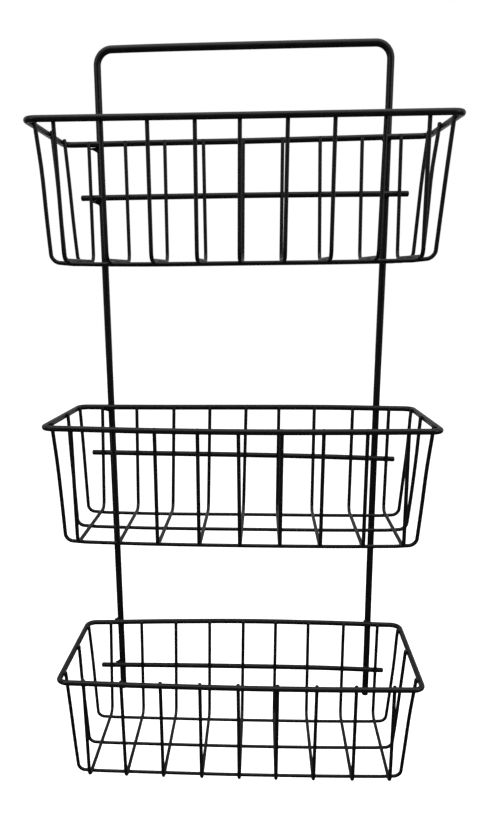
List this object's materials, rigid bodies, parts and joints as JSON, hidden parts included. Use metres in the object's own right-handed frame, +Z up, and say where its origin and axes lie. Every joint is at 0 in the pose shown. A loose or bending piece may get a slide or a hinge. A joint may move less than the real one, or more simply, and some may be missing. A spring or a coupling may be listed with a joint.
{
  "type": "tiered wall basket",
  "caption": "Hanging wall rack of welded, black-coated steel rod: an upside-down U frame that carries open, tapering wire baskets one above another.",
  "frame": {"origin": "middle of the frame's top bar, on the rod's centreline", "axes": "+X to the right along the wall, +Y towards the wall, +Z up"},
  "size_m": [0.3404, 0.1462, 0.6729],
  "materials": {
    "rod_coat": "satin black powder coat on steel rod",
    "rim_coat": "satin black powder coat on steel rod",
    "bar_coat": "satin black powder coat on steel rod",
    "wire_coat": "satin black powder coat on thin steel wire"
  },
  "bodies": {
    "root": {"frame_rod": "rod_coat", "top_basket_rim": "rim_coat", "top_basket_cross_bar": "bar_coat", "top_basket_long_wire_back": "wire_coat", "top_basket_long_wire_middle": "wire_coat", "top_basket_long_wire_front": "wire_coat", "top_basket_cross_wire_1": "wire_coat", "top_basket_cross_wire_2": "wire_coat", "top_basket_cross_wire_3": "wire_coat", "top_basket_cross_wire_4": "wire_coat", "top_basket_cross_wire_5": "wire_coat", "top_basket_cross_wire_6": "wire_coat", "top_basket_cross_wire_7": "wire_coat", "top_basket_cross_wire_8": "wire_coat", "top_basket_cross_wire_9": "wire_coat", "middle_basket_rim": "rim_coat", "middle_basket_cross_bar": "bar_coat", "middle_basket_long_wire_back": "wire_coat", "middle_basket_long_wire_middle": "wire_coat", "middle_basket_long_wire_front": "wire_coat", "middle_basket_cross_wire_1": "wire_coat", "middle_basket_cross_wire_2": "wire_coat", "middle_basket_cross_wire_3": "wire_coat", "middle_basket_cross_wire_4": "wire_coat", "middle_basket_cross_wire_5": "wire_coat", "middle_basket_cross_wire_6": "wire_coat", "middle_basket_cross_wire_7": "wire_coat", "middle_basket_cross_wire_8": "wire_coat", "middle_basket_cross_wire_9": "wire_coat", "bottom_basket_rim": "rim_coat", "bottom_basket_cross_bar": "bar_coat", "bottom_basket_long_wire_back": "wire_coat", "bottom_basket_long_wire_middle": "wire_coat", "bottom_basket_long_wire_front": "wire_coat", "bottom_basket_cross_wire_1": "wire_coat", "bottom_basket_cross_wire_2": "wire_coat", "bottom_basket_cross_wire_3": "wire_coat", "bottom_basket_cross_wire_4": "wire_coat", "bottom_basket_cross_wire_5": "wire_coat", "bottom_basket_cross_wire_6": "wire_coat", "bottom_basket_cross_wire_7": "wire_coat", "bottom_basket_cross_wire_8": "wire_coat", "bottom_basket_cross_wire_9": "wire_coat"}
  },
  "joints": []
}
